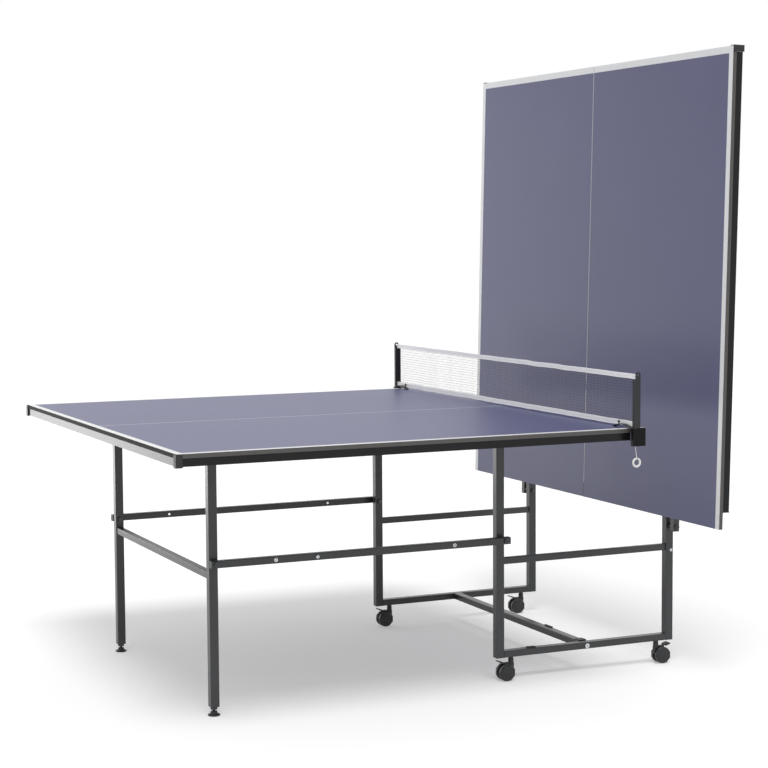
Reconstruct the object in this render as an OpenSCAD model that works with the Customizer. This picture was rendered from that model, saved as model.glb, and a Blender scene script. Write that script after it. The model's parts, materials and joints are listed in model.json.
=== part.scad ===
// Rollaway table tennis table in its solo position: one half down for play, the other raised upright.
// Millimetres, +Z up. Modules draw in the table's own layout, where X = 0 is the net line, -X is the
// lowered half, Y runs across the table and Z = 0 is the floor. in_row() then moves everything so that
// the origin is under the middle of the whole object.

/* [Table top] */
// Length of one half, from the net line to its outer end
half_len = 1370; // [1250:5:1500]
// Gap between the two lowered halves at the net line
half_gap = 3; // [3:0.5:6]
// Width of the playing surface
top_w = 1525; // [1450:5:1600]
// Height of the playing surface above the floor
top_z = 760; // [700:5:800]
// Thickness of the boards
board_t = 12; // [9:1:19]
// Gap between the two boards of a half, along the centre line
seam_gap = 0.6; // [0.4:0.1:1.5]

/* [Apron and rails] */
// Height of the steel aprons under the boards
apron_h = 21; // [16:1:30]
// Sheet thickness of the aprons
apron_wall = 1.5; // [1:0.25:2.5]
// Width of the aprons' top flange, which is screwed to the boards
apron_flange = 14; // [10:1:20]
// How far the aprons stand in from the boards' edges
apron_inset = 1.5; // [0.5:0.5:5]
// Length at the net end that has no side apron
apron_stop = 53; // [45:1:90]
// Thickness of the plastic plug on an apron's end
plug_t = 3; // [2:0.5:6]
// Gap left where one steel piece ends at another
end_gap = 0.5; // [0.3:0.1:0.8]
// Side of the square cross rails under the boards
rail = 18; // [15:1:20]
// Distance of each cross rail from the nearest pivot
rail_off = 50; // [45:1:60]
// Width of the seam channel under the joint of the boards
seam_w = 40; // [30:1:60]
// Depth of the seam channel
seam_h = 10; // [6:1:11]
// Wall of the corner caps
cap_t = 2.5; // [1.5:0.5:4]
// How far the corner caps stop below the playing surface
cap_drop = 2; // [1:0.5:5]

/* [Carriage] */
// Side of the square tube of posts and legs
tube = 25; // [22:1:28]
// Wall of all steel tubes
wall = 1.5; // [1:0.25:2]
// Radius of the tubes' outer corners
tube_r = 2; // [1:0.25:3]
// Distance of the posts' centres from the net line
post_x = 288; // [260:1:320]
// Distance of the posts' centres from the table's centre line
post_y = 427.5; // [380:2.5:480]
// Height of the carriage's underside above the floor
frame_z = 70; // [66:1:90]
// Height of the bars between the posts and of the floor crossbar
bar_h = 20; // [16:1:24]
// Height of the middle of the mid bars
mid_z = 354; // [250:1:370]
// Depth of the mid bars
mid_w = 15; // [12:1:20]
// Distance of the catch screws below the middle of the mid bars
catch_drop = 9; // [0:1:14]
// Thickness of the plastic caps on the posts' ends
post_cap_t = 2; // [1.5:0.5:4]
// How far the caps reach into the posts
post_cap_in = 4; // [3:0.5:4]

/* [Folding linkage] */
// Depth of the top pivots below the boards' underside
pivot_drop = 16; // [15:0.5:20]
// How far the top pivots stand from the middle of their post or leg, towards the net
pivot_in = 8; // [6:0.5:10]
// Distance between the two pivots of a link
link_len = 880; // [800:5:920]
// Height of the links above the floor
link_z = 420; // [400:1:470]
// Side of the links' square tube
link_h = 20; // [16:1:24]
// How far a link runs past its pivots
link_end = 14; // [12:1:20]
// Side of the leg frames' square crossbars
leg_bar = 20; // [15:1:24]
// Distance of the leg frames' crossbars below the links
leg_bar_drop = 36; // [30:1:60]
// Lean of the raised half from upright
lean = 1.5; // [1:0.25:4]
// Length of the bushes that hold the links off the posts
bush_len = 16.9; // [12:0.1:20]
// Length of the shorter bushes that hold the links off the legs, clear of the feet
leg_bush_len = 5.2; // [3:0.1:8]
// Outside diameter of the bushes
bush_d = 16; // [13:1:20]
// Gap between faces that turn past each other
turn_gap = 0.3; // [0.2:0.05:0.5]
// Diameter of the pivot bolts
bolt_d = 8; // [6:0.5:9]
// Radial clearance of a bolt or stud that turns or slides in its bore
fit_gap = 0.05; // [0.02:0.01:0.08]
// Radial clearance of the bolt between link and leg
loose_gap = 0.5; // [0.3:0.05:0.8]
// Thickness of the bolts' heads
head_t = 4.5; // [3:0.5:5]
// Thickness of the nuts
nut_t = 6; // [4:0.5:7]
// Sheet thickness of the pivot brackets
bracket_t = 2.5; // [2:0.25:3]
// Radius of the pivot brackets' ears
ear_r = 11; // [9:0.5:12]
// Length of the pivot brackets along the half
bracket_l = 48; // [40:1:56]
// Gap between a bracket's ear and its post or leg
ear_gap = 0.4; // [0.3:0.05:0.6]
// Gap between a post's top and the bracket above it
swing_gap = 2; // [1.75:0.25:3]

/* [Link holes] */
// Diameter of the through holes in the links
hole_d = 8; // [5:0.5:10]
// Distance of the outer through hole from the leg's pivot
hole_out = 171; // [120:1:200]
// Distance of the inner through hole from the post's pivot
hole_in = 166; // [120:1:200]
// Distance of the link's screw from the leg's pivot
screw_out = 293; // [230:1:340]
// Diameter of the link's screw
screw_d = 5; // [4:0.5:6]

/* [Levelling feet] */
// Height of a leg's lower end above the floor
leg_z = 25; // [22:1:40]
// Diameter of a foot's pad
foot_d = 34; // [26:1:40]
// Height of a foot's cone
foot_h = 14; // [10:1:16]
// Thickness of the rim of a foot's pad
foot_rim = 4; // [3:0.5:6]
// Length of a foot's stud inside its leg
stud_in = 45; // [30:1:60]
// Diameter of a foot's stud
stud_d = 8; // [6:0.5:10]
// Thickness of the nut plate that closes a leg
plate_t = 3; // [2:0.5:5]

/* [Casters] */
// Distance of the caster stems from the posts' centres
caster_in = 40; // [32:1:60]
// Diameter of the caster wheels
wheel_d = 50; // [46:1:52]
// Width of each of the two wheels of a caster
wheel_w = 13; // [10:0.5:15]
// Thickness of the housing between the wheels
housing_w = 12; // [10:0.5:14]
// Gap between a wheel and the housing
wheel_gap = 0.5; // [0.3:0.1:1]
// Distance of the axle from the stem, level
trail = 18; // [15:0.5:20]
// Diameter of the stem
stem_d = 10; // [8:0.5:12]
// Length of the stem inside the bottom bar
stem_in = 13; // [8:0.5:14]
// Diameter of the axle
axle_d = 6; // [5:0.5:8]
// Thickness of a wheel's hub cover
hub_t = 1.5; // [1:0.25:2.5]
// Diameter of the brake lever's pin
pin_d = 3; // [2.5:0.25:4]
// Height of the brake lever's pin above the axle
pin_up = 24; // [23.5:0.25:26]
// Slope of the released brake lever
lever_slope = 18; // [14:1:20]
// Width of the brake lever's tread
tread_w = 26; // [20:1:32]
// Thickness of the brake lever
lever_t = 3; // [2.5:0.25:3.5]
// Width of the lever's tongue in the housing
tongue_w = 5; // [4:0.5:6]

/* [Net] */
// Height of the net above the playing surface
net_h = 152.5; // [140:0.5:160]
// Gap under the net
net_under = 5; // [5:0.5:12]
// Thickness of the net
net_t = 1.2; // [0.8:0.1:2]
// Distance of the net's plane from the net line
net_x = 47; // [44:1:60]
// Width of the net posts
net_post_w = 20; // [16:1:24]
// Depth of the net posts
net_post_d = 10; // [8:0.5:14]
// Sheet thickness of the posts and clamps
net_wall = 1.8; // [1.5:0.1:2.5]
// Height of a net post above the net
net_post_over = 6; // [3:0.5:15]
// Distance of the net posts' outer faces from the boards' edges
net_out = 29.5; // [25:0.5:40]
// Width of a clamp's box
clamp_w = 40; // [36:1:48]
// Depth of a clamp's box
clamp_d = 12; // [10:0.5:14]
// Height of a clamp's box below the playing surface
clamp_h = 47; // [42:1:60]
// Height of a clamp's box above the playing surface
clamp_over = 3; // [2:0.5:4]
// How far a clamp's box stands off the net's plane, towards the net line
clamp_shift = 7; // [4:0.5:9]
// Length of a clamp's arched strap past the boards' edge
arm_len = 75; // [60:1:90]
// Width of a clamp's arched strap
arm_w = 12; // [8:1:16]
// Thickness of a clamp's arched strap
arm_t = 2; // [1.5:0.25:3]
// Rise of the strap's arch
arm_rise = 9; // [6:0.5:12]
// Gap between the strap and the net
arm_gap = 4; // [2:0.5:6]
// Diameter of a clamp's screw
clamp_screw_d = 8; // [6:0.5:9]
// Distance of a clamp's screw from the net line
clamp_screw_x = 22; // [20:0.5:24]
// Distance of a clamp's screw from the boards' edge
clamp_screw_in = 20; // [17:0.5:26]
// Depth of a clamp's lower jaw below the boards' underside
jaw_drop = 15; // [14:0.5:18]

/* [Net cord] */
// Diameter of the cord that tightens the net
cord_d = 2; // [1.5:0.25:3]
// Outside diameter of the pull ring
ring_d = 28; // [22:1:36]
// Thickness of the pull ring
ring_t = 6; // [4:0.5:8]

/* [Hidden] */
$fn = 48;

STEEL = "#26272a";
PLASTIC = "#1b1c1e";
ZINC = "#b9bcc0";
BLUE = "#5c6186";
WHITE = "#f2f2f0";

near = -1;
far = 1;
left = -1;
right = 1;

// Heights that the linkage hangs on
under_z = top_z - board_t;
pivot_z = under_z - pivot_drop;
pivot_x = post_x - pivot_in;
leg_pivot_x = pivot_x + link_len;
leg_x = post_x + link_len;
post_top = under_z - bracket_t - swing_gap;
fold = 90 - lean;

// The links run outside the posts, on bushes, and outside the legs
link_in_y = post_y + tube / 2 + bush_len + turn_gap;
link_y = link_in_y + link_h / 2;
leg_y = link_in_y - leg_bush_len - turn_gap - tube / 2;
bar_z = frame_z + bar_h / 2;
bolt_bore = bolt_d + 2 * fit_gap;
catch_x = post_x + tube / 8;
catch_z = mid_z - catch_drop;
cap_reach = apron_inset + apron_flange + end_gap;

// Casters: the stems' places and the way that each one's wheels trail
caster_x = post_x - caster_in;
casters = [[left, near, 180], [left, far, 180], [right, near, 0], [right, far, 180]];
axle_z = wheel_d / 2;
pin_z = axle_z + pin_up;
pin_x = trail - 5;
collar_h = 5;
boss_z = wheel_d + 1.5;

// Net, its posts and clamps
post_face_y = top_w / 2 + net_out;
clamp_in_y = post_face_y - clamp_d;
clamp_x = net_x - clamp_shift;
box_low = top_z - clamp_h;
box_top = top_z + clamp_over;
net_post_top = top_z + net_h + net_post_over;
arm_x = net_x + arm_gap + arm_w / 2;
ball_d = 7;
jaw_t = 5;
jaw_w = 16;
jaw_z = under_z - jaw_drop;
pad_d = 14;
pad_t = 3.4;
knob_d = 17;
cord_x = net_x + 2;
cord_y = post_face_y - clamp_d / 2;

// Middle of the whole object along X: the lowered half's corner caps to the raised legs' feet
x_low = -(half_len + cap_t);
x_high = leg_pivot_x - link_len + link_len * sin(lean) + pivot_in + foot_d / 2;
row_x = -(x_low + x_high) / 2;

// Route of the free cord, from the clamp's box down to the ring
cord_route = [[0, 0, 0], [0, 0, -2], [0.1, 0, -4], [0.2, 0, -6], [0.4, 0, -8], [0.6, 0, -10],
    [0.9, 0, -12], [1.2, 0, -14], [1.5, 0, -16], [1.8, 0, -18], [2.2, 0, -20], [2.5, 0, -22],
    [2.8, 0, -24], [3.1, 0, -26], [3.4, 0, -28], [3.7, 0, -30], [4, 0, -32]];
cord_end = cord_route[len(cord_route) - 1];
cord_step = 2;
cord_sides = 8;

module in_row() translate([row_x, 0, 0]) children();

module about(x, z, angle)
    translate([x, 0, z]) rotate([0, angle, 0]) translate([-x, 0, -z]) children();

// A half, its legs and its links are drawn lowered, on the -X side, and the right ones are mirrored and folded
module place_half(side) {
    if (side == left) children();
    else about(pivot_x, pivot_z, -fold) mirror([1, 0, 0]) children();
}
module place_links(side) {
    if (side == left) children();
    else about(post_x, link_z, -fold) mirror([1, 0, 0]) children();
}
module place_legs(side) {
    if (side == left) children();
    else translate([link_len * (sin(lean) - 1), 0, link_len * cos(lean)]) mirror([1, 0, 0]) children();
}

module box_at(low, high) translate(low) cube(high - low);
module bar_y(x, z, r, y_low, y_high)
    translate([x, y_low, z]) rotate([-90, 0, 0]) cylinder(r = r, h = y_high - y_low);

// Square and flat tubes with rounded corners, each between two ends and hollow from end to end
function corner(c, w, h) = [(c == 0 || c == 3 ? 1 : -1) * (w / 2 - tube_r), (c < 2 ? 1 : -1) * (h / 2 - tube_r)];
function rounded(w, h) = [for (c = [0:3], i = [0:4]) let (a = 90 * c + 22.5 * i)
    corner(c, w, h) + tube_r * [cos(a), sin(a)]];
module tube_profile(w, h) difference() {
    polygon(rounded(w, h));
    square([w - 2 * wall, h - 2 * wall], center = true);
}
module tube_z(x, y, side, z_low, z_high)
    translate([x, y, z_low]) linear_extrude(z_high - z_low) tube_profile(side, side);
module tube_x(y, z, w, h, x_low, x_high)
    translate([x_low, y, z]) rotate([90, 0, 90]) linear_extrude(x_high - x_low) tube_profile(w, h);
module tube_y(x, z, w, h, y_low, y_high)
    translate([x, y_high, z]) rotate([90, 0, 0]) linear_extrude(y_high - y_low) tube_profile(w, h);

// Carriage
module post(side, edge) color(STEEL) in_row() difference() {
    tube_z(side * post_x, edge * post_y, tube, frame_z + post_cap_t, post_top - post_cap_t);
    bar_y(side * pivot_x, pivot_z, bolt_bore / 2, edge * post_y - tube, edge * post_y + tube);
    bar_y(side * post_x, link_z, bolt_bore / 2, edge * post_y - tube, edge * post_y + tube);
    if (side == right) bar_y(catch_x, catch_z, screw_d / 2 + fit_gap, min(edge * post_y, edge * (post_y + tube)),
        max(edge * post_y, edge * (post_y + tube)));
}
module side_bars() color(STEEL) in_row() for (edge = [near, far]) {
    tube_x(edge * post_y, mid_z, mid_w, bar_h, -post_x + tube / 2, post_x - tube / 2);
    difference() {
        tube_x(edge * post_y, bar_z, tube, bar_h, -post_x + tube / 2, post_x - tube / 2);
        for (side = [left, right]) translate([side * caster_x, edge * post_y, frame_z - 1])
            cylinder(d = stem_d + 2 * fit_gap, h = 1 + 2 * wall);
        bar_y(0, bar_z, bolt_bore / 2, edge * post_y - tube, edge * post_y + tube);
    }
}
module floor_crossbar() color(STEEL) in_row() {
    reach = post_y - tube / 2;
    tube_y(0, bar_z, tube, bar_h, -reach + plate_t, reach - plate_t);
    for (edge = [near, far]) difference() {
        box_at([-tube / 2, edge * (reach - plate_t / 2) - plate_t / 2, frame_z],
            [tube / 2, edge * (reach - plate_t / 2) + plate_t / 2, frame_z + bar_h]);
        bar_y(0, bar_z, bolt_bore / 2, edge * reach - tube, edge * reach + tube);
    }
}
module end_cap(x, y, z, way) translate([x, y, z]) {
    inner = tube - 2 * wall;
    translate([0, 0, min(0, way * post_cap_t)]) linear_extrude(post_cap_t) polygon(rounded(tube, tube));
    translate([0, 0, min(0, -way * post_cap_in)]) linear_extrude(post_cap_in) square(inner, center = true);
}
module frame_caps() color(PLASTIC) in_row() {
    for (side = [left, right], edge = [near, far]) {
        end_cap(side * post_x, edge * post_y, frame_z + post_cap_t, -1);
        end_cap(side * post_x, edge * post_y, post_top - post_cap_t, 1);
    }
    clip_l = 26;
    clip_h = 3;
    top = frame_z + bar_h;
    box_at([-post_x + 93, -post_y - tube / 4, top], [-post_x + 93 + clip_l, -post_y + tube / 4, top + clip_h]);
    box_at([-tube / 2, -post_y + tube / 2, top], [tube / 2, -post_y + tube / 2 + clip_l, top + clip_h]);
    box_at([tube / 4, -post_y / 2, top], [tube / 2, -post_y / 2 + 1.6 * clip_l, top + clip_h]);
}
module link_bushes() color(PLASTIC) in_row() for (side = [left, right], edge = [near, far]) difference() {
    face = post_y + tube / 2;
    bar_y(side * post_x, link_z, bush_d / 2, min(edge * face, edge * (face + bush_len)),
        max(edge * face, edge * (face + bush_len)));
    bar_y(side * post_x, link_z, bolt_bore / 2, edge * face - tube, edge * face + tube);
}

// Bolts and screws along Y, with their round heads outside and hexagon nuts inside
module rod(x, z, edge, r, y_in, y_out, sides = 48)
    translate([x, edge * y_in, z]) rotate([-90 * edge, 0, 0]) cylinder(r = r, h = y_out - y_in, $fn = sides);
module screw(x, z, edge, head_y, tip_y, d) difference() {
    top_y = head_y + head_t * d / bolt_d;
    union() {
        rod(x, z, edge, d / 2, tip_y, head_y + 1);
        rod(x, z, edge, 0.9 * d, head_y, top_y);
    }
    rod(x, z, edge, 0.36 * d, head_y + (top_y - head_y) / 2, top_y + 1, 6);
}
module bolt(x, z, edge, head_y, nut_y) {
    screw(x, z, edge, head_y, nut_y - nut_t, bolt_d);
    rod(x, z, edge, 0.92 * bolt_d, nut_y - nut_t, nut_y, 6);
}
module frame_bolts() color(ZINC) in_row() for (edge = [near, far]) {
    bolt(0, bar_z, edge, post_y + tube / 2, post_y - tube / 2 - plate_t);
    screw(catch_x, catch_z, edge, post_y + tube / 2, post_y + tube / 2 - 2 * wall, screw_d);
}

// The two boards of a half
module board(side, edge) color(BLUE) in_row() place_half(side) {
    inner = edge * seam_gap / 2;
    outer = edge * top_w / 2;
    box_at([-half_len, min(inner, outer), under_z], [-half_gap / 2, max(inner, outer), top_z]);
}

// Aprons: angles with the flange under the boards and the web at their edges
module apron_profile() {
    square([apron_wall, apron_h]);
    translate([0, apron_h - apron_wall]) square([apron_flange, apron_wall]);
}
module aprons(side) color(STEEL) in_row() place_half(side) {
    low = under_z - apron_h;
    face_x = half_len - apron_inset;
    face_y = top_w / 2 - apron_inset;
    run = face_x - apron_flange - end_gap - apron_stop;
    for (edge = [near, far]) translate([-apron_stop, edge * face_y, low])
        mirror([0, edge > 0 ? 0 : 1, 0]) rotate([90, 0, -90]) linear_extrude(run) apron_profile();
    translate([-face_x, face_y, low]) rotate([90, 0, 0]) linear_extrude(2 * face_y) apron_profile();
}
module rails(side) color(STEEL) in_row() place_half(side) {
    reach = top_w / 2 - apron_inset - apron_flange - end_gap;
    rail_z = under_z - rail / 2;
    inner = pivot_x + rail_off;
    outer = leg_pivot_x + rail_off;
    for (x = [inner, outer]) tube_y(-x, rail_z, rail, rail, -reach, reach);
    difference() {
        box_at([-outer + rail / 2 + end_gap, -seam_w / 2, under_z - seam_h],
            [-inner - rail / 2 - end_gap, seam_w / 2, under_z]);
        box_at([-outer, -seam_w / 2 + wall, under_z - seam_h - 1], [-inner, seam_w / 2 - wall, under_z - wall]);
    }
}

// Plastic caps on the outer corners, and plugs on the side aprons' net ends
module caps(side) color(PLASTIC) in_row() place_half(side) for (edge = [near, far]) {
    low = under_z - apron_h - cap_t;
    high = top_z - cap_drop;
    mirror([0, edge > 0 ? 0 : 1, 0]) {
        difference() {
            translate([-half_len - cap_t, top_w / 2 + cap_t, low]) mirror([0, 1, 0])
                cube([cap_reach + cap_t, cap_reach + cap_t, high - low]);
            box_at([-half_len, top_w / 2 - 2 * cap_reach, low + cap_t], [0, top_w / 2, high + 1]);
            box_at([-half_len + cap_t, top_w / 2 - 2 * cap_reach, low - 1], [0, top_w / 2 - cap_t, high + 1]);
        }
        translate([-apron_stop, top_w / 2 - apron_flange - apron_inset, under_z - apron_h - 1])
            cube([plug_t, apron_flange + 1, apron_h + 1]);
    }
}

// U-shaped pivot bracket, with an ear on each side of its post or leg
module bracket(x, y) difference() {
    ear_y = tube / 2 + ear_gap;
    union() {
        box_at([x - bracket_l / 2, y - ear_y - bracket_t, under_z - bracket_t],
            [x + bracket_l / 2, y + ear_y + bracket_t, under_z]);
        for (way = [-1, 1]) translate([0, y + way * (ear_y + bracket_t / 2), 0]) {
            bar_y(x, pivot_z, ear_r, -bracket_t / 2, bracket_t / 2);
            box_at([x - ear_r, -bracket_t / 2, pivot_z], [x + ear_r, bracket_t / 2, under_z - bracket_t / 2]);
        }
    }
    bar_y(x, pivot_z, bolt_bore / 2, y - tube, y + tube);
}
module brackets(side) color(STEEL) in_row() place_half(side) for (edge = [near, far]) {
    bracket(-pivot_x, edge * post_y);
    bracket(-leg_pivot_x, edge * leg_y);
}
module pivot_bolts(side) color(ZINC) in_row() place_half(side)
    for (edge = [near, far], at = [[pivot_x, post_y], [leg_pivot_x, leg_y]]) {
        ear = tube / 2 + ear_gap + bracket_t;
        bolt(-at[0], pivot_z, edge, at[1] + ear, at[1] - ear);
    }

// Outer leg frame: two legs and the crossbar between them
module leg(side, edge) color(STEEL) in_row() place_legs(side) {
    y = edge * leg_y;
    difference() {
        union() {
            tube_z(-leg_x, y, tube, leg_z, post_top);
            for (z = [leg_z, post_top - plate_t])
                translate([-leg_x, y, z]) linear_extrude(plate_t) polygon(rounded(tube, tube));
        }
        bar_y(-leg_pivot_x, pivot_z, bolt_bore / 2, y - tube, y + tube);
        bar_y(-leg_x, link_z, bolt_d / 2 + loose_gap, y - tube, y + tube);
        translate([-leg_x, y, leg_z - 1]) cylinder(d = stud_d + 2 * fit_gap, h = plate_t + 2);
    }
}
module leg_crossbar(side) color(STEEL) in_row() place_legs(side)
    tube_y(-leg_x, link_z - leg_bar_drop, leg_bar, leg_bar, -leg_y + tube / 2, leg_y - tube / 2);
module foot(side, edge) color(PLASTIC) in_row() place_legs(side) translate([-leg_x, edge * leg_y, 0]) {
    rotate_extrude() polygon([[0, 0], [foot_d / 2 - 1, 0], [foot_d / 2, 1], [foot_d / 2, foot_rim],
        [foot_d / 2 - 1, foot_rim + 1], [0.9 * stud_d, foot_h], [0, foot_h]]);
    cylinder(d = stud_d, h = leg_z + stud_in);
    lock_nut = 0.6 * stud_d;
    translate([0, 0, leg_z - lock_nut]) cylinder(d = 1.8 * stud_d, h = lock_nut, $fn = 6);
}

// Link between a post and a leg
module link(side, edge) color(STEEL) in_row() place_links(side) {
    y = edge * link_y;
    difference() {
        tube_x(y, link_z, link_h, link_h, -leg_x - link_end + plug_t, -post_x + link_end - plug_t);
        for (x = [leg_x, post_x]) bar_y(-x, link_z, bolt_bore / 2, y - link_h, y + link_h);
        for (x = [leg_x - hole_out, post_x + hole_in]) bar_y(-x, link_z, hole_d / 2, y - link_h, y + link_h);
        bar_y(-leg_x + screw_out, link_z, screw_d / 2 + fit_gap, y - link_h, y + link_h);
    }
}
module link_plugs(side) color(PLASTIC) in_row() place_links(side) {
    for (edge = [near, far]) difference() {
        rod(-leg_x, link_z, edge, bush_d / 2, link_in_y - leg_bush_len, link_in_y);
        rod(-leg_x, link_z, edge, bolt_bore / 2, leg_y, link_y);
    }
    for (edge = [near, far], end = [[-leg_x - link_end, 1], [-post_x + link_end, -1]])
        translate([end[0], edge * link_y, link_z]) {
            way = end[1];
            translate([min(0, way * plug_t), 0, 0]) rotate([90, 0, 90]) linear_extrude(plug_t)
                polygon(rounded(link_h, link_h));
            translate([min(0, 2 * way * plug_t), 0, 0]) rotate([90, 0, 90]) linear_extrude(2 * plug_t)
                square(link_h - 2 * wall, center = true);
        }
}
module link_bolts(side) color(ZINC) in_row() place_links(side) for (edge = [near, far]) {
    outer = link_in_y + link_h;
    bolt(-post_x, link_z, edge, outer, post_y - tube / 2 - turn_gap);
    bolt(-leg_x, link_z, edge, outer, leg_y - tube / 2 - turn_gap);
    screw(-leg_x + screw_out, link_z, edge, outer, link_in_y, screw_d);
}

// Twin-wheel caster, drawn with its stem on Z and its wheels trailing towards +X
module place_caster(i) in_row() {
    c = casters[i - 1];
    translate([c[0] * caster_x, c[1] * post_y, 0]) rotate([0, 0, c[2]]) children();
}
module caster_housing(i) color(PLASTIC) place_caster(i) {
    difference() {
        union() {
            bar_y(trail, axle_z, 13, -housing_w / 2, housing_w / 2);
            box_at([trail - 13, -housing_w / 2, axle_z], [trail + 8, housing_w / 2, pin_z + 4]);
            box_at([-stem_d / 2 - 2, -housing_w / 2, axle_z + 4], [trail, housing_w / 2, pin_z + 4]);
            translate([0, 0, boss_z]) cylinder(d = stem_d + 6, h = frame_z - turn_gap - collar_h - boss_z);
        }
        bar_y(trail, axle_z, axle_d / 2 + fit_gap, -housing_w, housing_w);
        box_at([pin_x - 5, -tongue_w / 2 - turn_gap, pin_z - 5],
            [trail + 20, tongue_w / 2 + turn_gap, pin_z + 6]);
    }
    translate([0, 0, axle_z + 10]) cylinder(d = stem_d, h = frame_z - axle_z - 10 + stem_in);
    translate([0, 0, frame_z - turn_gap - collar_h]) cylinder(d = stem_d + 4, h = collar_h);
    bar_y(pin_x, pin_z, pin_d / 2, -housing_w / 2, housing_w / 2);
}
module caster_wheels(i) color(PLASTIC) place_caster(i) translate([trail, 0, axle_z]) {
    for (turn = [-90, 90]) rotate([turn, 0, 0]) translate([0, 0, housing_w / 2 + wheel_gap]) {
        rotate_extrude($fn = 64) polygon([[axle_d / 2 - 0.5, 0], [wheel_d / 2 - 1.5, 0], [wheel_d / 2, 1.5],
            [wheel_d / 2, wheel_w - 3], [wheel_d / 2 - 3, wheel_w], [axle_d / 2 - 0.5, wheel_w]]);
        translate([0, 0, wheel_w - 0.5]) cylinder(r1 = wheel_d / 2 - 4, r2 = wheel_d / 2 - 6, h = hub_t + 0.5);
    }
    rotate([90, 0, 0]) cylinder(d = axle_d, h = housing_w + 2 * wheel_gap + 2, center = true);
}
module caster_brake(i) color(PLASTIC) place_caster(i) translate([pin_x, 0, pin_z]) rotate([90, 0, 0]) {
    tread_x = 16;
    rim = 0.3;
    linear_extrude(tongue_w, center = true) difference() {
        union() {
            circle(d = pin_d + 4);
            rotate(lever_slope) translate([0, -lever_t / 2]) square([tread_x + 2, lever_t]);
        }
        circle(d = pin_d + 2 * fit_gap);
    }
    linear_extrude(tread_w, center = true) rotate(lever_slope) translate([tread_x, -lever_t / 2 - rim])
        square([tread_x, lever_t + 2 * rim]);
}

// Net post: a channel with a round head, a hole and a notch. It is welded to the clamp, which is drawn
// for the far side: a box, an arched strap over the playing surface, a stud with a ball, and a lower jaw.
module net_post_outline(notch_side) {
    head_r = 0.4 * net_post_w;
    head_x = notch_side * (head_r - net_post_w / 2);
    shoulder = net_post_top - 2.2 * head_r;
    difference() {
        union() {
            translate([-net_post_w / 2, box_top - net_wall]) square([net_post_w, shoulder - box_top + net_wall]);
            translate([head_x - head_r, shoulder - 1]) square([2 * head_r, net_post_top - head_r - shoulder + 1]);
            translate([head_x, net_post_top - head_r]) circle(r = head_r);
        }
        translate([notch_side * net_post_w / 2, shoulder + 1]) circle(r = head_r / 2);
        translate([head_x, net_post_top - head_r]) circle(d = 6);
    }
}
module net_channel(edge) difference() {
    translate([-net_x, post_face_y, 0]) rotate([90, 0, 0]) linear_extrude(net_post_d) net_post_outline(edge);
    box_at([-net_x - net_post_w / 2 + net_wall, post_face_y - net_post_d - 1, box_top],
        [-net_x + net_post_w / 2 - net_wall, post_face_y - net_wall, net_post_top]);
    box_at([-net_x - net_post_w, post_face_y - net_post_d - 1, net_post_top - net_post_w],
        [-net_x + net_post_w, post_face_y - net_wall, net_post_top + 1]);
}
module clamp_box() difference() {
    box_at([-clamp_x - clamp_w / 2, clamp_in_y, box_low], [-clamp_x + clamp_w / 2, post_face_y, box_top]);
    box_at([-clamp_x - clamp_w / 2 + net_wall, clamp_in_y - 1, box_low + net_wall],
        [-clamp_x + clamp_w / 2 - net_wall, post_face_y - net_wall, box_top - net_wall]);
}
module clamp_strap() {
    run = arm_len + clamp_in_y - top_w / 2;
    steps = 16;
    arch = [for (i = [0:steps]) let (t = i / steps)
        [clamp_in_y - run * t, top_z + (clamp_over - arm_t) * (1 - t) + 4 * arm_rise * t * (1 - t)]];
    crown = [for (i = [steps:-1:0]) arch[i] + [0, arm_t]];
    translate([-arm_x - arm_w / 2, 0, 0]) rotate([90, 0, 90]) linear_extrude(arm_w) polygon(concat(arch, crown));
    box_at([-arm_x - arm_w / 2, clamp_in_y, box_top - arm_t], [-arm_x + arm_w / 2, post_face_y, box_top]);
    translate([-arm_x + arm_w / 4, top_w / 2 - 0.75 * arm_len, top_z + arm_rise / 2]) {
        cylinder(d = 3, h = arm_rise);
        translate([0, 0, arm_rise + 2]) sphere(d = ball_d);
    }
}
module clamp_jaw() {
    screw_y = top_w / 2 - clamp_screw_in;
    difference() {
        box_at([-clamp_screw_x - jaw_w / 2, screw_y - jaw_w / 2, jaw_z - jaw_t],
            [-clamp_screw_x + jaw_w / 2, clamp_in_y + net_wall, jaw_z]);
        translate([-clamp_screw_x, screw_y, jaw_z - jaw_t - 1]) cylinder(d = clamp_screw_d + 2 * fit_gap, h = jaw_t + 2);
    }
    box_at([-clamp_screw_x - jaw_w / 2, clamp_in_y, jaw_z - jaw_t], [-clamp_x + clamp_w / 2, post_face_y, jaw_z]);
}
module net_post(edge) color(STEEL) in_row() mirror([0, edge > 0 ? 0 : 1, 0]) {
    net_channel(edge);
    clamp_box();
    clamp_strap();
    clamp_jaw();
}
module net_clamp_screw(edge) color(PLASTIC) in_row()
    translate([-clamp_screw_x, edge * (top_w / 2 - clamp_screw_in), 0]) {
        knob_low = box_low + 1;
        translate([0, 0, under_z - pad_t]) cylinder(d = pad_d, h = pad_t);
        translate([0, 0, knob_low]) cylinder(d = clamp_screw_d, h = under_z - knob_low - 1);
        translate([0, 0, knob_low]) cylinder(d = knob_d, h = jaw_z - jaw_t - 1 - knob_low);
    }
module net_sheet() color("#2b2c33") in_row() {
    reach = post_face_y - net_wall - turn_gap;
    box_at([-net_x - net_t / 2, -reach, top_z + net_under], [-net_x + net_t / 2, reach, top_z + net_h]);
}

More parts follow.
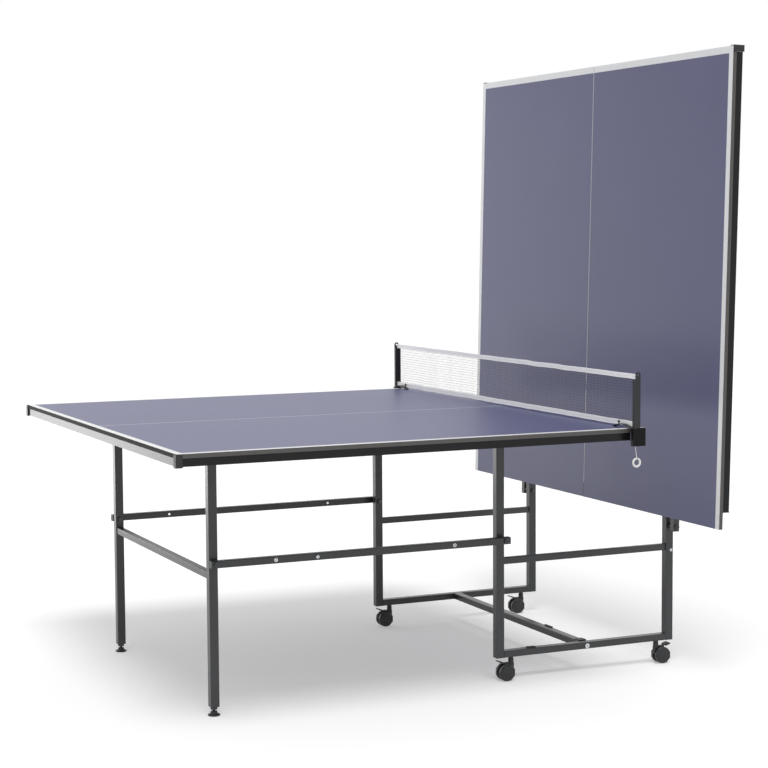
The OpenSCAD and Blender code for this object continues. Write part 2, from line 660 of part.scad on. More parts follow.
// The cord's tube: one ring of points around each point of its route
function cord_point(i, k) = i * cord_sides + k % cord_sides;
module net_cord() color(WHITE) in_row() translate([-cord_x, -cord_y, box_low]) {
    last = (len(cord_route) - 1) / cord_step;
    sides = [0:cord_sides - 1];
    points = [for (i = [0:last], k = sides)
        cord_route[cord_step * i] + cord_d / 2 * [cos(360 * k / cord_sides), sin(360 * k / cord_sides), 0]];
    ends = [[for (k = sides) cord_point(0, k)], [for (k = sides) cord_point(last, cord_sides - 1 - k)]];
    walls = [for (i = [0:last - 1], k = sides)
        [cord_point(i, k + 1), cord_point(i, k), cord_point(i + 1, k), cord_point(i + 1, k + 1)]];
    polyhedron(points, concat(ends, walls));
}
module net_ring() color(WHITE) in_row()
    translate([-cord_x, -cord_y, box_low] + cord_end - [0, 0, ring_d / 2]) rotate([90, 0, 0])
        rotate_extrude($fn = 64) translate([ring_d / 2 - ring_t / 2, 0]) circle(d = ring_t, $fn = 24);

post(left, near);  // post_left_near
post(left, far);  // post_left_far
post(right, near);  // post_right_near
post(right, far);  // post_right_far
side_bars();
floor_crossbar();
frame_caps();
link_bushes();
frame_bolts();
board(left, near);  // left_board_near
board(left, far);  // left_board_far
aprons(left);  // left_aprons
rails(left);  // left_rails
caps(left);  // left_caps
brackets(left);  // left_brackets
pivot_bolts(left);  // left_pivot_bolts
board(right, near);  // right_board_near
board(right, far);  // right_board_far
aprons(right);  // right_aprons
rails(right);  // right_rails
caps(right);  // right_caps
brackets(right);  // right_brackets
pivot_bolts(right);  // right_pivot_bolts
leg(left, near);  // left_leg_near
leg(left, far);  // left_leg_far
leg_crossbar(left);  // left_leg_crossbar
leg(right, near);  // right_leg_near
leg(right, far);  // right_leg_far
leg_crossbar(right);  // right_leg_crossbar
link(left, near);  // left_link_near
link(left, far);  // left_link_far
link_plugs(left);  // left_link_plugs
link_bolts(left);  // left_link_bolts
link(right, near);  // right_link_near
link(right, far);  // right_link_far
link_plugs(right);  // right_link_plugs
link_bolts(right);  // right_link_bolts
foot(left, near);  // left_foot_near
foot(left, far);  // left_foot_far
foot(right, near);  // right_foot_near
foot(right, far);  // right_foot_far
caster_housing(1);  // caster_housing_1
caster_housing(2);  // caster_housing_2
caster_housing(3);  // caster_housing_3
caster_housing(4);  // caster_housing_4
caster_wheels(1);  // caster_wheels_1
caster_wheels(2);  // caster_wheels_2
caster_wheels(3);  // caster_wheels_3
caster_wheels(4);  // caster_wheels_4
caster_brake(1);  // caster_brake_1
caster_brake(2);  // caster_brake_2
caster_brake(3);  // caster_brake_3
caster_brake(4);  // caster_brake_4
net_post(near);  // net_post_near
net_post(far);  // net_post_far
net_clamp_screw(near);  // net_clamp_screw_near
net_clamp_screw(far);  // net_clamp_screw_far
net_sheet();
net_cord();
net_ring();
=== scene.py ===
"""A rollaway table tennis table: one half is down for play, the other stands upright behind the net."""
import json
from math import cos, pi, radians, sin
import bmesh
import bpy
from mathutils import Matrix, Vector, noise


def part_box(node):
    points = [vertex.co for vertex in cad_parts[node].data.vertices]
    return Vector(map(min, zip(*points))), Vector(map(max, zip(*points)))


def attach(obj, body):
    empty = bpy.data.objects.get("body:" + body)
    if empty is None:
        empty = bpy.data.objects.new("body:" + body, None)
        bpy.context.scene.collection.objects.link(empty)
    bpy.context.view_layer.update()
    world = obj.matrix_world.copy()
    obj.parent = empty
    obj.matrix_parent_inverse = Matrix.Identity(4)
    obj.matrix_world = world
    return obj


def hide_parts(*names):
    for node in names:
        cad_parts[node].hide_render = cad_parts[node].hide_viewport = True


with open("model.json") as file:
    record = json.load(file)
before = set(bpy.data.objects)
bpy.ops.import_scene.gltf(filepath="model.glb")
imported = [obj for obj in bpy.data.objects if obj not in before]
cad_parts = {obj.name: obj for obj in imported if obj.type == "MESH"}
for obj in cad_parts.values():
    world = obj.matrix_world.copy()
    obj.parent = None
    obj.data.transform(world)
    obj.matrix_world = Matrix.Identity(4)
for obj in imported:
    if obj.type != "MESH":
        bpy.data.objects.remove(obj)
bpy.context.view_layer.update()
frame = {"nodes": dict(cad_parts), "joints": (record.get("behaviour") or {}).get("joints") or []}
solids = frame["nodes"]


# Camera: it stands in front of the lowered half's near side, a little above the playing surface, and
# looks across the table towards the raised half. The net line is where the two halves would meet.
half_gap = 0.003
net_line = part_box("left_board_near")[1][0] + half_gap / 2
eye = (net_line - 2.85218, -5.30038, 1.32206)
turned_right, tipped_down, rolled = 24.33, 4.69, 0.367
camera = bpy.data.objects.new("camera", bpy.data.cameras.new("camera"))
camera.data.sensor_width = 36
camera.data.lens = 89.83
aim = (Matrix.Rotation(radians(-turned_right), 4, "Z") @ Matrix.Rotation(radians(90 - tipped_down), 4, "X")
       @ Matrix.Rotation(radians(-rolled), 4, "Z"))
camera.matrix_world = Matrix.Translation(eye) @ aim
bpy.context.scene.collection.objects.link(camera)
bpy.context.scene.camera = camera
bpy.context.scene.view_settings.view_transform = "Standard"


# Net cord: the end of the braided polyester cord that tightens the net. It comes out under the near
# clamp's box and hangs down to a moulded ring, round which it is knotted. Its route is in millimetres
# along the table and down from the exit.
cord_d = 0.002
cord_exit = Vector((net_line - 0.049, -0.786, 0.713))
cord_drop = [(0, 0), (0, 2), (0.1, 4), (0.2, 6), (0.4, 8), (0.6, 10), (0.9, 12), (1.2, 14), (1.5, 16),
             (1.8, 18), (2.2, 20), (2.5, 22), (2.8, 24), (3.1, 26), (3.4, 28), (3.7, 30), (4, 32)]


def linear(hex_code):
    """The linear colour, with full alpha, of an sRGB hex value."""
    parts = [int(hex_code[i:i + 2], 16) / 255 for i in (1, 3, 5)]
    return [p / 12.92 if p <= 0.04045 else ((p + 0.055) / 1.055) ** 2.4 for p in parts] + [1]


def add_node(tree, kind, inputs, **settings):
    """A shader node with its settings, each input given a value or linked to a socket."""
    node = tree.nodes.new("ShaderNode" + kind)
    for name, value in settings.items():
        setattr(node, name, value)
    for name, value in inputs.items():
        if isinstance(value, bpy.types.NodeSocket):
            tree.links.new(value, node.inputs[name])
        else:
            node.inputs[name].default_value = value
    return node


def start_material(name, base, roughness, **values):
    """A new material, its node tree, its shader, and its patterns' coordinates in metres."""
    material = bpy.data.materials.new(name)
    material.use_nodes = True
    tree = material.node_tree
    shader = tree.nodes["Principled BSDF"]
    shader.inputs["Base Color"].default_value = linear(base)
    shader.inputs["Roughness"].default_value = roughness
    for key, value in values.items():
        shader.inputs[key.replace("_", " ")].default_value = value
    return material, tree, shader, add_node(tree, "TexCoord", {}).outputs["Object"]


def relief(tree, shader, height, depth):
    """The pattern's height, 0 to 1, stands that far out of the surface, in metres."""
    bump = add_node(tree, "Bump", {"Height": height, "Strength": 1, "Distance": depth})
    tree.links.new(bump.outputs["Normal"], shader.inputs["Normal"])


def show(name, data, materials, body):
    """A new piece of that mesh or curve, which rides on a body and takes its finish from a slot."""
    if isinstance(data, bmesh.types.BMesh):
        shape, data = data, bpy.data.meshes.new(name)
        shape.to_mesh(data)
        shape.free()
    for material in materials:
        data.materials.append(material)
    piece = bpy.data.objects.new(name, data)
    bpy.context.scene.collection.objects.link(piece)
    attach(piece, body)
    return piece


def thread(name, points, radius, closed=False):
    """A round cord through those points, as a curve with a bevel."""
    data = bpy.data.curves.new(name, "CURVE")
    data.dimensions = "3D"
    data.bevel_depth = radius
    data.bevel_resolution = 3
    spline = data.splines.new("POLY")
    spline.points.add(len(points) - 1)
    for place, point in zip(spline.points, points):
        place.co = (*point, 1)
    spline.use_cyclic_u = closed
    spline.use_smooth = True
    return data


# Braided polyester: matt white, with the plaits' slanting ribs every 1.2 mm along the cord. At scale 1,
# the bands of a wave texture repeat every 0.314 m.
one_band = 0.314
braid, tree, shader, at = start_material("braided_polyester", "#e6e6e2", 0.8)
plaits = add_node(tree, "TexWave", {"Vector": at, "Scale": one_band / 0.0012, "Distortion": 1.5},
                  wave_type="BANDS", bands_direction="DIAGONAL")
relief(tree, shader, plaits.outputs["Fac"], 0.0002)
cord_path = [cord_exit + Vector((along / 1000, 0, -down / 1000)) for along, down in cord_drop]
net_cord = show("tension_cord", thread("tension_cord", cord_path, cord_d / 2), [braid],
                "left_half")
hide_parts("net_cord")

# The knot: two turns of the cord round the top of the ring, beside each other
ring_low, ring_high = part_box("net_ring")
ring_t = ring_high[1] - ring_low[1]
ring_top = Vector(((ring_low[0] + ring_high[0]) / 2, cord_exit.y, ring_high[2] - ring_t / 2))
turn_r = (ring_t + cord_d) / 2
turn_apart = 0.0011
turn_steps = 24
knot_path = []
for k in range(2 * turn_steps):
    aside = turn_apart * sin(pi * k / turn_steps) * (1 if k < turn_steps else -1)
    angle = 2 * pi * k / turn_steps
    knot_path.append(ring_top + Vector((aside, turn_r * sin(angle), turn_r * cos(angle))))
knot = show("cord_knot", thread("cord_knot", knot_path, cord_d / 2, True), [braid],
            "left_half")


# Pull ring: injection-moulded white ABS, glossy, with the faintest grain of its mould
def grain(tree, shader, at, size, depth, **noise_inputs):
    """A fine random roughness whose grains have that size and depth, in metres."""
    bumps = add_node(tree, "TexNoise", {"Vector": at, "Scale": 1 / size, **noise_inputs})
    relief(tree, shader, bumps.outputs["Fac"], depth)


def dress(material, *names):
    """Gives a carried-over solid its real finish."""
    for name in names:
        for place in solids[name].material_slots:
            place.material = material


ring_abs, tree, shader, at = start_material("moulded_white_abs", "#e9e9e8", 0.32)
grain(tree, shader, at, 0.0008, 0.00002)
dress(ring_abs, "net_ring")


# Carriage, leg frames and links: square and flat steel tube, saw-cut, drilled and welded, then powder
# coated semi-gloss black. The coat gives a soft sheen with a fine orange peel of about 1.5 mm.
sides = ("near", "far")
halves = ("left", "right")
casters = range(1, 5)


def mottle(tree, shader, at, size, dark, light, detail=3):
    """The base colour wanders between two close shades in patches of that size, in metres."""
    cloud = add_node(tree, "TexNoise", {"Vector": at, "Scale": 1 / size, "Detail": detail})
    mix = add_node(tree, "Mix", {0: cloud.outputs["Fac"], 6: linear(dark), 7: linear(light)},
                   data_type="RGBA")
    tree.links.new(mix.outputs[2], shader.inputs["Base Color"])
    return cloud


coat, tree, shader, at = start_material("powder_coated_steel", "#37383a", 0.3)
mottle(tree, shader, at, 0.06, "#323335", "#3c3d3f")
grain(tree, shader, at, 0.0015, 0.00006, Detail=2)
dress(coat, "side_bars", "floor_crossbar",
      *[f"post_{half}_{side}" for half in halves for side in sides],
      *[f"{half}_{part}_{side}" for half in halves for part in ("leg", "link") for side in sides],
      *[f"{half}_{part}" for half in halves for part in ("leg_crossbar", "rails", "brackets")])

# Aprons: rolled steel angle in the same coat, a little smoother because the sheet is cold rolled. Its
# colour is painted far darker than the frame's: painted shade for the aprons under the boards' edges.
# 141416 against the frame's #37383a is painted shade
apron_coat, tree, shader, at = start_material("powder_coated_sheet", "#141416", 0.28,
                                              Specular_IOR_Level=0.24)
mottle(tree, shader, at, 0.08, "#121214", "#17171a")
grain(tree, shader, at, 0.002, 0.00004, Detail=2)
dress(apron_coat, "left_aprons", "right_aprons")

# Moulded black polypropylene: corner caps, tube plugs, bushes and clips, with a fine spark-eroded grain
plastic, tree, shader, at = start_material("moulded_polypropylene", "#1a1b1d", 0.46)
mottle(tree, shader, at, 0.02, "#18191b", "#1f2023")
pits = add_node(tree, "TexVoronoi", {"Vector": at, "Scale": 1 / 0.0007})
relief(tree, shader, pits.outputs["Distance"], 0.00005)
dress(plastic, "frame_caps", "link_bushes",
      *[f"{half}_{part}" for half in halves for part in ("caps", "link_plugs")],
      *[f"caster_{part}_{i}" for part in ("housing", "brake") for i in casters])

# Frame screws: cold-headed steel, bright zinc plated, with the faint swirl of the plating bath
zinc, tree, shader, at = start_material("bright_zinc_plate", "#c9ccd0", 0.26, Metallic=1)
mottle(tree, shader, at, 0.003, "#b9bcc1", "#d6d8da")
grain(tree, shader, at, 0.0006, 0.00002)
dress(zinc, "frame_bolts")

# Pivot bolts: the same steel with a black zinc plate, which mirrors the room only darkly
black_zinc, tree, shader, at = start_material("black_zinc_plate", "#4a4b4e", 0.34, Metallic=1)
mottle(tree, shader, at, 0.003, "#414245", "#55565a")
grain(tree, shader, at, 0.0006, 0.00003)
dress(black_zinc, *[f"{half}_{part}" for half in halves for part in ("pivot_bolts", "link_bolts")])


# Link sleeves and screws: each link has two cross holes with a flanged, zinc plated sleeve pressed into
# them, and near its leg a pan-head screw with a small round recess, turned from the same steel.
hole_from_leg, hole_from_post, screw_from_leg = 0.171, 0.166, 0.293
sleeve_r = 0.0039
sleeve_bore = 0.0031
sleeve_depth = 0.0196
flange_r = 0.0054
flange_t = 0.0005
lip = 0.0004
head_r = 0.0059
head_h = 0.0042
head_rim = 0.0006
link_low, link_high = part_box("left_link_near")
link_face = link_low[1]
link_mid_z = (link_low[2] + link_high[2]) / 2
leg_x = (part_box("left_leg_near")[0][0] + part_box("left_leg_near")[1][0]) / 2
post_x = (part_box("post_left_near")[0][0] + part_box("post_left_near")[1][0]) / 2


def lathe(shape, centre, axis, outline, steps=32, closed=False, finish=0):
    """Adds what an outline of (radius, along) pairs sweeps as it turns about the axis."""
    start = axis.orthogonal().normalized()
    rings = []
    for k in range(steps):
        way = Matrix.Rotation(2 * pi * (k + 0.5) / steps, 3, axis) @ start
        rings.append([shape.verts.new(centre + way * r + axis * along) for r, along in outline])
    made = []
    for one, two in zip(rings, rings[1:] + rings[:1]):
        for k in range(len(outline) - (0 if closed else 1)):
            n = (k + 1) % len(outline)
            made.append(shape.faces.new((one[k], one[n], two[n], two[k])))
    for face in made:
        face.smooth = steps > 8
    if not closed:
        made.append(shape.faces.new([ring[0] for ring in rings]))
        made.append(shape.faces.new([ring[-1] for ring in rings][::-1]))
    for face in made:
        face.material_index = finish


def crisp(shape):
    """Keeps every edge that turns by more than 30 degrees sharp."""
    bmesh.ops.recalc_face_normals(shape, faces=shape.faces)
    for edge in shape.edges:
        edge.smooth = edge.is_manifold and edge.calc_face_angle(0) < radians(30)


def raised(fold_name):
    """Where a joint of the raised half puts what was drawn for the lowered one."""
    joint = next(joint for joint in frame["joints"] if joint["name"] == fold_name)
    at = Vector(joint["pos_m"])
    mirrored = Matrix.Translation((2 * net_line, 0, 0)) @ Matrix.Diagonal((-1, 1, 1, 1))
    return (Matrix.Translation(at) @ Matrix.Rotation(-radians(joint["range_deg"][1]), 4, "Y")
            @ Matrix.Translation(-at) @ mirrored)


for half in halves:
    shape = bmesh.new()
    for way in (-1, 1):
        axis = Vector((0, way, 0))
        for x in (leg_x + hole_from_leg, post_x - hole_from_post):
            lathe(shape, Vector((x, way * abs(link_face), link_mid_z)), axis,
                  [(sleeve_bore, -sleeve_depth), (sleeve_r, -sleeve_depth), (sleeve_r, 0), (flange_r, 0),
                   (flange_r, 0.6 * flange_t), (flange_r - lip, flange_t), (sleeve_bore + lip, flange_t),
                   (sleeve_bore, 0.6 * flange_t)], closed=True)
        lathe(shape, Vector((leg_x + screw_from_leg, way * abs(link_face), link_mid_z)), axis,
              [(head_r, 0), (head_r, head_rim), (0.94 * head_r, 0.5 * head_h),
               (0.75 * head_r, 0.85 * head_h), (0.45 * head_r, head_h), (0.3 * head_r, head_h),
               (0.2 * head_r, 0.4 * head_h)])
    if half == "right":
        shape.transform(raised("right_link_turn"))
    crisp(shape)
    show(f"{half}_link_sleeves", shape, [zinc], f"{half}_links")


# Feet: a moulded rubber pad with a dished skirt round the head of an M8 stud, whose rolled thread runs
# up through a hexagon lock nut into the leg. The leg is levelled by turning it. Sizes in millimetres,
# outlines as (radius, height).
pad_profile = [(15.2, 0), (16.4, 0.5), (17, 1.6), (16.9, 3.2), (16, 4.3), (12.8, 5.2), (10.4, 6.9),
               (9.4, 9.2), (9.1, 11.6), (8.4, 12.4)]
thread_low, thread_high, thread_pitch = 12.2, 30, 1.25
root_r, crest_r, stud_top = 3.5, 4, 70
nut_low, nut_high, nut_r = 17.4, 24.6, 10.6
nut_face_r = 0.88 * nut_r
nut_profile = [(nut_face_r, nut_low), (nut_r, nut_low + 1), (nut_r, nut_high - 1), (nut_face_r, nut_high)]


def in_metres(outline):
    """An outline in millimetres, in metres."""
    return [(r / 1000, along / 1000) for r, along in outline]


rubber, tree, shader, at = start_material("moulded_black_rubber", "#1d1d1e", 0.55)
mottle(tree, shader, at, 0.01, "#19191a", "#252526")
grain(tree, shader, at, 0.0007, 0.00004)
turns = int((thread_high - thread_low) / thread_pitch)
stud_profile = [(r, thread_low + (k + part) * thread_pitch) for k in range(turns)
                for r, part in ((root_r, 0), (crest_r, 0.4), (crest_r, 0.6))] + [(root_r, stud_top)]
for half in halves:
    for side in sides:
        low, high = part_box(f"{half}_foot_{side}")
        base = Vector(((low[0] + high[0]) / 2, (low[1] + high[1]) / 2, low[2]))
        up = Vector((0, 0, 1))
        shape = bmesh.new()
        lathe(shape, base, up, in_metres(pad_profile))
        lathe(shape, base, up, in_metres(stud_profile), 24, finish=1)
        lathe(shape, base, up, in_metres(nut_profile), 6, finish=1)
        crisp(shape)
        foot = show(f"{half}_levelling_foot_{side}", shape, [rubber, black_zinc],
                    f"{half}_foot_{side}")
        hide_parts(f"{half}_foot_{side}")


# Caster wheels: twin wheels of moulded nylon on one axle, each with a smooth tread and a hub cover with
# eight flats, clipped on. The covers are dark and matt; the treads are glossier and coloured a lighter
# grey, partly painted highlight for the light on their rims. Outlines as (radius, distance from the
# caster's middle), in millimetres.
# The tread's lighter grey is painted highlight
tread, tree, shader, at = start_material("moulded_nylon_tread", "#3b3c3e", 0.36)
mottle(tree, shader, at, 0.008, "#333436", "#454648")
grain(tree, shader, at, 0.0008, 0.00003)
cover, tree, shader, at = start_material("moulded_nylon_cover", "#222325", 0.42)
mottle(tree, shader, at, 0.01, "#1e1f21", "#28292b")
pits = add_node(tree, "TexVoronoi", {"Vector": at, "Scale": 1 / 0.0008})
relief(tree, shader, pits.outputs["Distance"], 0.00005)
tread_profile = [(9, 6.5), (23.8, 6.5), (25, 7.7), (25, 13.6), (24, 14.6), (9, 14.6)]
cover_profile = [(23.4, 14.4), (24.5, 15.4), (24.5, 17.6), (23, 19.4), (20.6, 19.9), (19.6, 19.2),
                 (13.4, 19.2), (12.2, 20.4), (9, 20.9), (4, 20.9)]
axle_profile = [(3, -14), (3, 14)]
for i in casters:
    low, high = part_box(f"caster_wheels_{i}")
    middle = (Vector(low) + Vector(high)) / 2
    shape = bmesh.new()
    for way in (-1, 1):
        axis = Vector((0, way, 0))
        lathe(shape, middle, axis, in_metres(tread_profile), 64, closed=True)
        lathe(shape, middle, axis, in_metres(cover_profile), 8, finish=1)
    lathe(shape, middle, Vector((0, 1, 0)), in_metres(axle_profile), 24, finish=1)
    crisp(shape)
    wheels = show(f"caster_twin_wheels_{i}", shape, [tread, cover], f"caster_{i}_wheels")
    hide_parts(f"caster_wheels_{i}")


# Boards: four edge-banded chipboard panels with a slate-blue matt acrylic playing coat on top and white
# lines screen-printed on it: 20 mm along sides and end, 3 mm down the middle up to the net.
line_w = 0.02
centre_w = 0.003
centre_stop = 0.047
edge_round = 0.0008
board_low, board_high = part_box("left_board_near")
half_w = -board_low[1]
end_x, net_x = board_low[0], board_high[0]
top_z = board_high[2]

# Acrylic playing coat: matt, with the even fine tooth of the roller, drawn at 1.2 mm so that it shows
blue, tree, shader, at = start_material("acrylic_playing_coat", "#56587c", 0.42)
mottle(tree, shader, at, 0.25, "#535579", "#595b80")
grain(tree, shader, at, 0.0012, 0.00008, Detail=2)

# Printed line: a thin white enamel over the same tooth
white, tree, shader, at = start_material("white_line_enamel", "#f1f2f3", 0.45)
grain(tree, shader, at, 0.0012, 0.00006, Detail=2)

# Underside: black melamine paper on the chipboard, whose flakes of 3 mm print through a little
melamine, tree, shader, at = start_material("black_melamine", "#2b2c30", 0.5)
flakes = mottle(tree, shader, at, 0.003, "#27282c", "#313237", 1)
relief(tree, shader, flakes.outputs["Fac"], 0.00005)

# Edge band: dark grey ABS strip, glued on and milled flush, a shade lighter than the apron under it
edge_band, tree, shader, at = start_material("grey_abs_edge_band", "#504e4c", 0.5)
mottle(tree, shader, at, 0.02, "#4b4947", "#555351")
grain(tree, shader, at, 0.0008, 0.00003)

# End band: the same strip on the two playing ends, coloured near black there as painted shade, darker than
# the grey along the sides
shaded_end_band, tree, shader, at = start_material("abs_end_band_painted_shade", "#131314", 0.55, Specular_IOR_Level=0.06)
mottle(tree, shader, at, 0.02, "#101011", "#161617")
grain(tree, shader, at, 0.0008, 0.00003)


def rounded_box(shape, low, high, radius, steps=2):
    """Adds a box with rounded edges to the shape."""
    made = bmesh.ops.create_cube(shape, size=1)["verts"]
    size = Vector(high) - Vector(low)
    bmesh.ops.transform(shape, verts=made, matrix=Matrix.Translation(Vector(low) + size / 2)
                        @ Matrix.Diagonal((*size, 1)))
    edges = list({edge for vert in made for edge in vert.link_edges})
    bmesh.ops.bevel(shape, geom=edges, offset=radius, segments=steps, profile=0.5, affect="EDGES")


for half in halves:
    for side in sides:
        low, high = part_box(f"left_board_{side}")
        shape = bmesh.new()
        rounded_box(shape, low, high, edge_round)
        way = -1 if side == "near" else 1
        line_edges = (((end_x + line_w, 0, 0), (1, 0, 0)), ((net_x - centre_stop, 0, 0), (1, 0, 0)),
                      ((0, way * (half_w - line_w), 0), (0, 1, 0)), ((0, way * centre_w / 2, 0), (0, 1, 0)))
        for co, no in line_edges:
            bmesh.ops.bisect_plane(shape, geom=shape.verts[:] + shape.edges[:] + shape.faces[:],
                                   plane_co=co, plane_no=no)
        for face in shape.faces:
            middle = face.calc_center_median()
            across = abs(middle.y)
            lined = (across > half_w - line_w or middle.x < end_x + line_w
                     or (across < centre_w / 2 and middle.x < net_x - centre_stop))
            if abs(face.normal.z) > 0.9:
                face.material_index = 3 if face.normal.z < 0 else 1 if lined else 0
            else:
                # Faces at the playing ends take the end band, whose near black is painted shade
                face.material_index = 4 if middle.x < end_x + 2 * edge_round else 2
        if half == "right":
            shape.transform(raised("right_half_fold"))
            bmesh.ops.reverse_faces(shape, faces=shape.faces)
        board = show(f"{half}_playing_board_{side}", shape, [blue, white, edge_band, melamine, shaded_end_band],
                     f"{half}_half")
        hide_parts(f"{half}_board_{side}")


# Net posts and clamps: bent steel channel with its clamp, in a slightly duller black coat. From just
# above the playing surface down, the clamp is painted a deeper black than the post: painted shade on the
# clamp below the playing surface.
deep_below, plain_above = top_z + 0.002, top_z + 0.004
clamp_coat, tree, shader, at = start_material("powder_coated_clamp", "#3b3c3e", 0.4,
                                              Specular_IOR_Level=0.15)
level = add_node(tree, "SeparateXYZ", {"Vector": at}).outputs["Z"]
share = add_node(tree, "MapRange", {"Value": level, "From Min": deep_below, "From Max": plain_above})
# 0d0d0e below the playing surface is painted shade
shade = add_node(tree, "Mix", {0: share.outputs["Result"], 6: linear("#0d0d0e"), 7: linear("#3b3c3e")},
                 data_type="RGBA")
tree.links.new(shade.outputs[2], shader.inputs["Base Color"])
grain(tree, shader, at, 0.0012, 0.00005, Detail=2)
dress(clamp_coat, "net_post_near", "net_post_far")
dress(plastic, "net_clamp_screw_near", "net_clamp_screw_far")


# Net: knotless polyester mesh of 8 mm squares, hemmed between two white woven tapes. It is stretched
# between the posts by the cord in its top hem, so it stands almost flat, with small waves in the tapes.
mesh_pitch = 0.008
rib_w, rib_t = 0.0009, 0.0001
row_w, row_t = 0.0004, 0.0008
row_steps = 60
hem = 0.002
top_tape_h = 0.014
low_tape_h = 0.015
tape_t = 0.0012
wave_fade, wave_size = 0.06, 0.09
sheet_low, sheet_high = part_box("net_sheet")
net_plane = (sheet_low[0] + sheet_high[0]) / 2
net_near, net_far = sheet_low[1], sheet_high[1]
net_bottom, net_top = sheet_low[2], sheet_high[2]


def wave(y, seed, size):
    """A slow unevenness of that size along the net, which fades out at its two ends."""
    ends = min(1, (y - net_near) / wave_fade, (net_far - y) / wave_fade)
    return size * max(0, ends) * noise.fractal(Vector((y / wave_size, seed, 0)), 1, 2, 2)


def net_point(y, z):
    """Where a point of the flat net stands: its top hem waves by up to 1.2 mm, its bottom hem by 1.8 mm."""
    up = (z - net_bottom) / (net_top - net_bottom)
    lift = wave(y, 3.1, 0.0012) * up + wave(y, 8.7, 0.0018) * (1 - up)
    return Vector((net_plane + wave(y, 5.3, 0.0015) * (1 - up) + wave(y, 1.9, 0.001) * up, y, z + lift))


def strip(shape, centres, across, thick):
    """A thin band along its centre points, with its half width and half thickness as vectors."""
    rings = [[shape.verts.new(c + across * i + thick * j) for i, j in ((-1, -1), (1, -1), (1, 1), (-1, 1))]
             for c in centres]
    for one, two in zip(rings, rings[1:]):
        for k in range(4):
            shape.faces.new((one[k], one[(k + 1) % 4], two[(k + 1) % 4], two[k]))
    shape.faces.new(rings[0][::-1])
    shape.faces.new(rings[-1])


yarn, tree, shader, at = start_material("black_polyester_yarn", "#24252c", 0.7)
twist = add_node(tree, "TexWave", {"Vector": at, "Scale": one_band / 0.0009}, wave_type="BANDS",
                 bands_direction="DIAGONAL")
relief(tree, shader, twist.outputs["Fac"], 0.0001)
shape = bmesh.new()
mesh_low, mesh_high = net_bottom + low_tape_h - hem, net_top - top_tape_h + hem
columns = int((net_far - net_near) / mesh_pitch)
rows = int((mesh_high - mesh_low) / mesh_pitch)
for i in range(columns):
    y = net_near + (i + 0.5) * (net_far - net_near) / columns
    strip(shape, [net_point(y, mesh_low), net_point(y, mesh_high)], Vector((0, rib_w / 2, 0)),
          Vector((rib_t / 2, 0, 0)))
for i in range(rows):
    z = mesh_low + (i + 0.5) * (mesh_high - mesh_low) / rows
    stops = [net_near + k * (net_far - net_near) / row_steps for k in range(row_steps + 1)]
    strip(shape, [net_point(y, z) for y in stops], Vector((0, 0, row_w / 2)), Vector((row_t / 2, 0, 0)))
net = show("net_mesh", shape, [yarn], "left_half")
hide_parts("net_sheet")

# Tapes: white polyester webbing folded over the net's edges and lock-stitched along the middle. A faint
# emission makes it glow a little whiter than the printed lines beside it: painted light for the light
# shining through the thin webbing from behind. The outline is in shares of the tape's thickness and
# height, with a groove where the stitches lie.
tape_outline = [(-0.4, 0), (-0.5, 0.06), (-0.5, 0.44), (-0.38, 0.5), (-0.5, 0.56), (-0.5, 0.94), (-0.4, 1),
                (0.4, 1), (0.5, 0.94), (0.5, 0.56), (0.38, 0.5), (0.5, 0.44), (0.5, 0.06), (0.4, 0)]
tape_steps = 220
seam_out = 0.4
stitch_pitch, stitch_l, stitch_w, stitch_t = 0.005, 0.0032, 0.0006, 0.0003
# The emission of 0.16 is painted light, for light passing through the tape from behind
webbing, tree, shader, at = start_material("white_woven_tape", "#f4f4f5", 0.72,
                                           Emission_Color=(1, 1, 1, 1), Emission_Strength=0.16)
weft = add_node(tree, "TexWave", {"Vector": at, "Scale": one_band / 0.0011}, bands_direction="Y")
warp = add_node(tree, "TexWave", {"Vector": at, "Scale": one_band / 0.0011}, bands_direction="Z")
weave = add_node(tree, "Math", {0: weft.outputs["Fac"], 1: warp.outputs["Fac"]}, operation="MULTIPLY")
relief(tree, shader, weave.outputs["Value"], 0.0002)
seam_thread, tree, shader, at = start_material("grey_seam_thread", "#9fa1a6", 0.6)
grain(tree, shader, at, 0.0005, 0.0001)
for name, low, high in (("net_top_tape", net_top - top_tape_h, net_top),
                        ("net_bottom_tape", net_bottom, net_bottom + low_tape_h)):
    shape = bmesh.new()
    height = high - low
    rings = []
    for k in range(tape_steps + 1):
        y = net_near + k * (net_far - net_near) / tape_steps
        rings.append([shape.verts.new(net_point(y, low + up * height) + Vector((out * tape_t, 0, 0)))
                      for out, up in tape_outline])
    for one, two in zip(rings, rings[1:]):
        for k in range(len(tape_outline)):
            n = (k + 1) % len(tape_outline)
            shape.faces.new((one[k], two[k], two[n], one[n]))
    shape.faces.new(rings[0])
    shape.faces.new(rings[-1][::-1])
    stitches = int((net_far - net_near) / stitch_pitch)
    half_stitch = Vector((0, stitch_l / 2, 0))
    for k in range(stitches):
        y = net_near + (k + 0.5) * (net_far - net_near) / stitches
        for face_x in (-1, 1):
            place = net_point(y, low + height / 2) + Vector((face_x * seam_out * tape_t, 0, 0))
            before = len(shape.faces)
            strip(shape, [place - half_stitch, place + half_stitch], Vector((0, 0, stitch_w / 2)),
                  Vector((stitch_t / 2, 0, 0)))
            shape.faces.ensure_lookup_table()
            for face in shape.faces[before:]:
                face.material_index = 1
    bmesh.ops.recalc_face_normals(shape, faces=shape.faces)
    show(name, shape, [webbing, seam_thread], "left_half")


# Studio: a plain pale floor with soft light. The floor and the surroundings are white to the eye and in
# reflections, while the light that falls on the table stays at a plain level.
light_level, seen_level = 0.5, 1.0
floor_glow = 0.31
floor_reach = 30


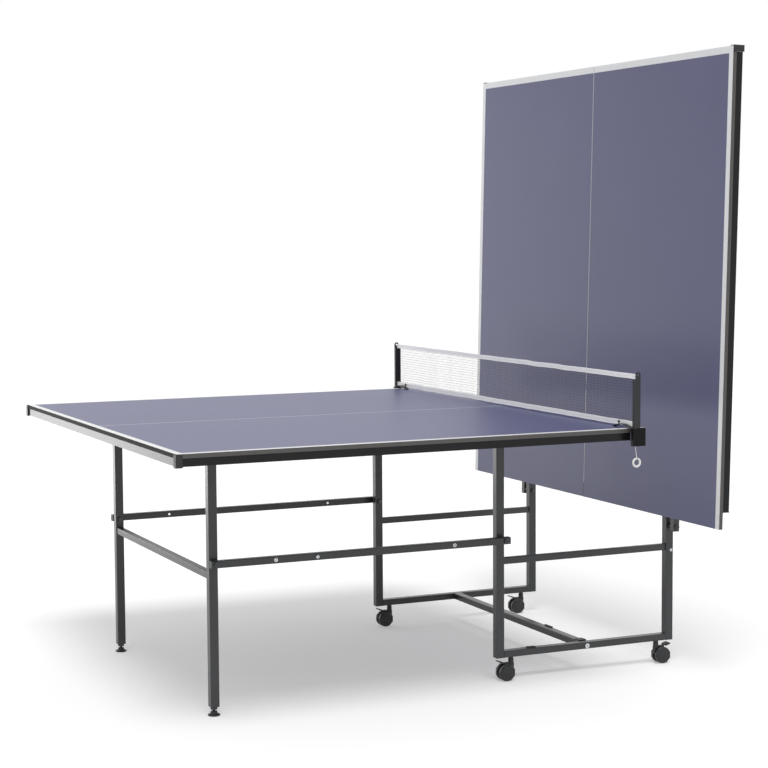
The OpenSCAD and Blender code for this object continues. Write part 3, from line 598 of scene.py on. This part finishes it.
def is_seen(tree):
    """1 where the camera, a reflection or a see-through surface looks, 0 for the light itself."""
    path = add_node(tree, "LightPath", {})
    seen = add_node(tree, "Math", {0: path.outputs["Is Camera Ray"], 1: path.outputs["Is Glossy Ray"]},
                    operation="MAXIMUM")
    return add_node(tree, "Math", {0: seen.outputs["Value"], 1: path.outputs["Is Transmission Ray"]},
                    operation="MAXIMUM").outputs["Value"]


world = bpy.data.worlds.new("studio")
bpy.context.scene.world = world
world.use_nodes = True
tree = world.node_tree
level = add_node(tree, "MapRange", {"Value": is_seen(tree), "To Min": light_level, "To Max": seen_level})
tree.links.new(level.outputs["Result"], tree.nodes["Background"].inputs["Strength"])
tree.nodes["Background"].inputs["Color"].default_value = (1, 1, 1, 1)

floor_paper = bpy.data.materials.new("white_studio_floor")
floor_paper.use_nodes = True
tree = floor_paper.node_tree
shader = tree.nodes["Principled BSDF"]
shader.inputs["Base Color"].default_value = linear("#ebebeb")
shader.inputs["Roughness"].default_value = 0.9
shader.inputs["Specular IOR Level"].default_value = 0
glow = add_node(tree, "Math", {0: is_seen(tree), 1: floor_glow}, operation="MULTIPLY")
shader.inputs["Emission Color"].default_value = (1, 1, 1, 1)
tree.links.new(glow.outputs["Value"], shader.inputs["Emission Strength"])
shape = bmesh.new()
bmesh.ops.create_grid(shape, x_segments=1, y_segments=1, size=floor_reach)
floor_mesh = bpy.data.meshes.new("floor")
shape.to_mesh(floor_mesh)
shape.free()
floor_mesh.materials.append(floor_paper)
floor = bpy.data.objects.new("floor", floor_mesh)
bpy.context.scene.collection.objects.link(floor)


def lamp(name, place, target, width, height, watts):
    """A soft rectangular lamp that looks at a target, unseen itself."""
    light = bpy.data.lights.new(name, "AREA")
    light.shape = "RECTANGLE"
    light.size, light.size_y = width, height
    light.energy = watts
    made = bpy.data.objects.new(name, light)
    way = Vector(target) - Vector(place)
    made.matrix_world = Matrix.Translation(place) @ way.to_track_quat("-Z", "Y").to_matrix().to_4x4()
    made.visible_camera = False
    bpy.context.scene.collection.objects.link(made)


# Two weak lamps behind the table, which rim the legs and posts on their far sides
lamp("strip_low_behind", (-1.95, 3.6, 0.3), (-0.85, 0, 0.3), 1.2, 0.6, 8.5)
lamp("panel_far_behind", (-0.75, 3.6, 1.5), (0.57, 0, 1.4), 1.0, 1.6, 5.5)

# Overhead: the main light, broad and steep from the near side, so the shadow lies under and behind
overhead = bpy.data.objects.new("overhead", bpy.data.lights.new("overhead", "SUN"))
overhead.data.energy = 1.56
overhead.data.angle = radians(26)
overhead.rotation_euler = Vector((0.15, 0.42, -0.9)).to_track_quat("-Z", "Y").to_euler()
bpy.context.scene.collection.objects.link(overhead)
